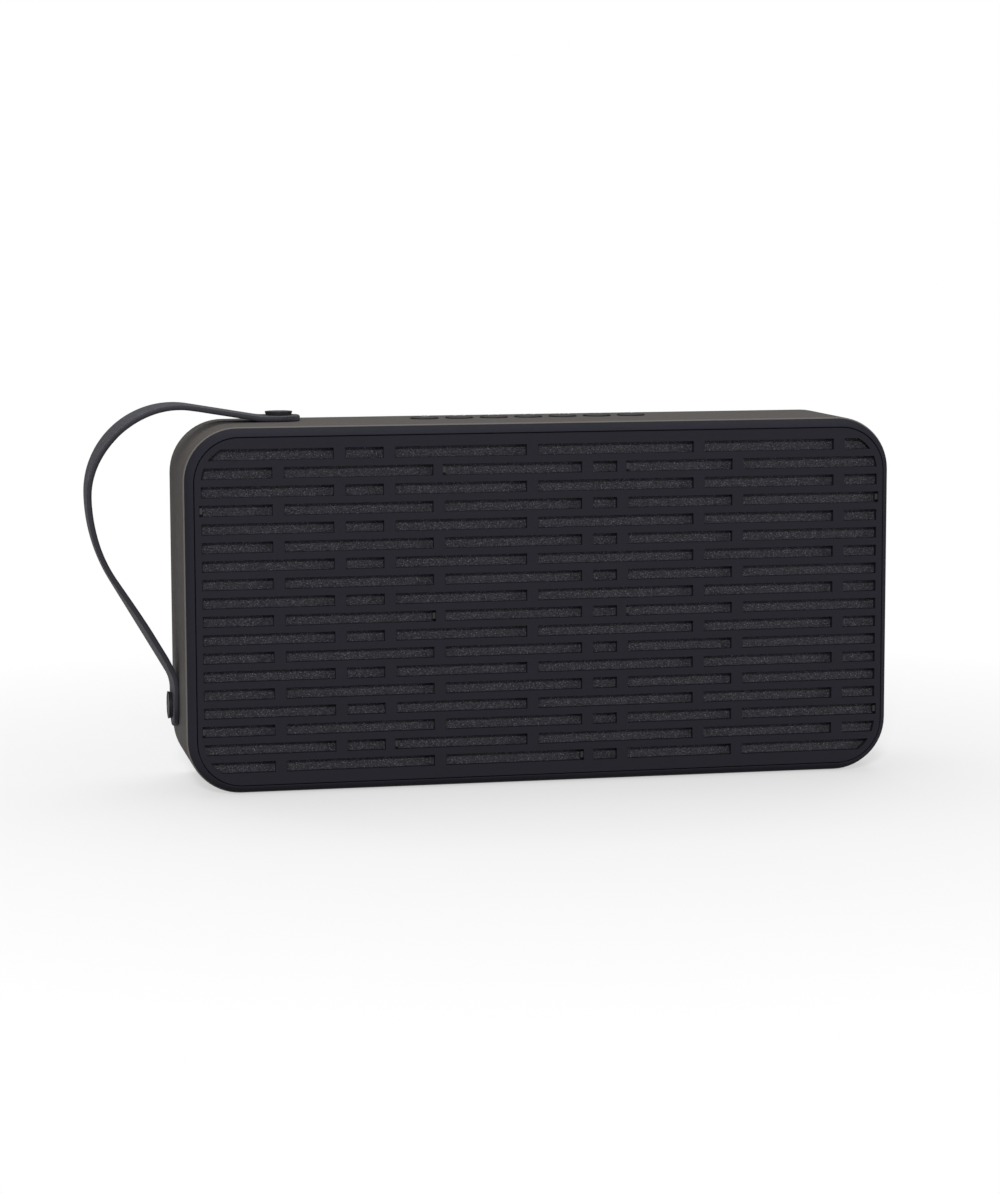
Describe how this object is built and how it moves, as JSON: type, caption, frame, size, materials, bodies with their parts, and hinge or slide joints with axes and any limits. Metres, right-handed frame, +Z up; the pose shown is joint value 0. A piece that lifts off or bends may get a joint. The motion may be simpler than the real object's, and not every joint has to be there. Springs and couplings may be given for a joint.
{
  "type": "portable shower speaker",
  "caption": "Flat rounded-rectangle portable speaker with a slotted front grille over dark cloth, round top buttons and a strap loop studded to one corner.",
  "frame": {"origin": "on the resting plane (bottom of the foot strip), midway between the casing's ends and between its front and rear faces", "axes": "+Z up, front grille facing -Y, +X to the right seen from the front"},
  "size_m": [0.2563, 0.05, 0.1216],
  "materials": {
    "shell_plastic": "satin, soft-touch",
    "rim_plastic": "satin",
    "grille_plastic": "fine matte",
    "speaker_cloth": "melange knit",
    "black_plastic": "matte",
    "seal_rubber": "matte",
    "cover_rubber": "matte",
    "button_plastic": "satin",
    "strap_leather": "fine grain",
    "stud_metal": "satin black",
    "steel": "plain",
    "black_steel": "black oxide",
    "magnet_steel": "plain",
    "basket_steel": "satin",
    "cone_paper": "pressed paper",
    "spider_cloth": "treated cloth",
    "board_green": "solder mask",
    "chip_black": "matte",
    "can_blue": "sleeve",
    "cell_wrap": "shrink sleeve",
    "wire_red": "matte",
    "ribbon": "satin",
    "led_lens": "frosted"
  },
  "bodies": {
    "casing": {"main_shell": "shell_plastic", "front_frame": "rim_plastic", "grille_panel": "grille_plastic", "grille_cloth": "speaker_cloth", "grille_hooks": "black_plastic", "front_gasket": "seal_rubber", "speaker_baffle": "black_plastic", "baffle_screws": "black_steel", "rear_cover": "shell_plastic", "rear_gasket": "seal_rubber", "rear_screws": "black_steel", "foot_strip": "seal_rubber", "left_basket": "basket_steel", "left_magnet": "magnet_steel", "left_surround": "seal_rubber", "left_spider": "spider_cloth", "right_basket": "basket_steel", "right_magnet": "magnet_steel", "right_surround": "seal_rubber", "right_spider": "spider_cloth", "driver_screws": "black_steel", "radiator_frame": "basket_steel", "radiator_surround": "seal_rubber", "keypad_seal": "seal_rubber", "button_board": "board_green", "tact_switches": "steel", "main_board": "board_green", "board_chips": "chip_black", "wireless_module": "steel", "board_capacitors": "can_blue", "board_screws": "steel", "battery_cells": "cell_wrap", "battery_bracket": "black_plastic", "battery_wires": "wire_red", "speaker_wires": "wire_red", "ribbon_cable": "ribbon", "usb_port": "steel", "aux_jack": "black_plastic", "status_led": "led_lens", "strap_top_end": "strap_leather", "strap_side_end": "strap_leather", "top_stud": "stud_metal", "side_stud": "stud_metal", "stud_nuts": "steel"},
    "carry_loop": {"strap_loop": "strap_leather"},
    "port_flap": {"port_cover": "cover_rubber"},
    "left_driver_cone": {"left_cone": "cone_paper"},
    "right_driver_cone": {"right_cone": "cone_paper"},
    "radiator_mass": {"radiator_plate": "magnet_steel"},
    "power_key": {"power_button": "button_plastic"},
    "wireless_key": {"wireless_button": "button_plastic"},
    "previous_key": {"previous_button": "button_plastic"},
    "play_key": {"play_button": "button_plastic"},
    "next_key": {"next_button": "button_plastic"},
    "volume_down_key": {"volume_down_button": "button_plastic"},
    "volume_up_key": {"volume_up_button": "button_plastic"}
  },
  "joints": [
    {"name": "strap_sway", "type": "hinge", "parent": "casing", "child": "carry_loop", "pos_m": [-0.115, 0.0065, 0.025], "axis": [0.3544, 0, 0.9351], "range_deg": [-22, 22]},
    {"name": "port_cover_hinge", "type": "hinge", "parent": "casing", "child": "port_flap", "pos_m": [0.074, 0.02425, 0.03435], "axis": [-1, 0, 0], "range_deg": [0, 90]},
    {"name": "power_press", "type": "slide", "parent": "casing", "child": "power_key", "axis": [0, 0, -1], "range_m": [0, 0.0005], "stiffness_N_per_m": 1500},
    {"name": "wireless_press", "type": "slide", "parent": "casing", "child": "wireless_key", "axis": [0, 0, -1], "range_m": [0, 0.0005], "stiffness_N_per_m": 1500},
    {"name": "previous_press", "type": "slide", "parent": "casing", "child": "previous_key", "axis": [0, 0, -1], "range_m": [0, 0.0005], "stiffness_N_per_m": 1500},
    {"name": "play_press", "type": "slide", "parent": "casing", "child": "play_key", "axis": [0, 0, -1], "range_m": [0, 0.0005], "stiffness_N_per_m": 1500},
    {"name": "next_press", "type": "slide", "parent": "casing", "child": "next_key", "axis": [0, 0, -1], "range_m": [0, 0.0005], "stiffness_N_per_m": 1500},
    {"name": "volume_down_press", "type": "slide", "parent": "casing", "child": "volume_down_key", "axis": [0, 0, -1], "range_m": [0, 0.0005], "stiffness_N_per_m": 1500},
    {"name": "volume_up_press", "type": "slide", "parent": "casing", "child": "volume_up_key", "axis": [0, 0, -1], "range_m": [0, 0.0005], "stiffness_N_per_m": 1500},
    {"name": "left_cone_travel", "type": "slide", "parent": "casing", "child": "left_driver_cone", "axis": [0, -1, 0], "range_m": [-0.0012, 0.0012], "stiffness_N_per_m": 900, "deforming": ["left_surround", "left_spider"]},
    {"name": "right_cone_travel", "type": "slide", "parent": "casing", "child": "right_driver_cone", "axis": [0, -1, 0], "range_m": [-0.0012, 0.0012], "stiffness_N_per_m": 900, "deforming": ["right_surround", "right_spider"]},
    {"name": "radiator_travel", "type": "slide", "parent": "casing", "child": "radiator_mass", "axis": [0, -1, 0], "range_m": [-0.002, 0.002], "stiffness_N_per_m": 600, "deforming": ["radiator_surround"]}
  ]
}
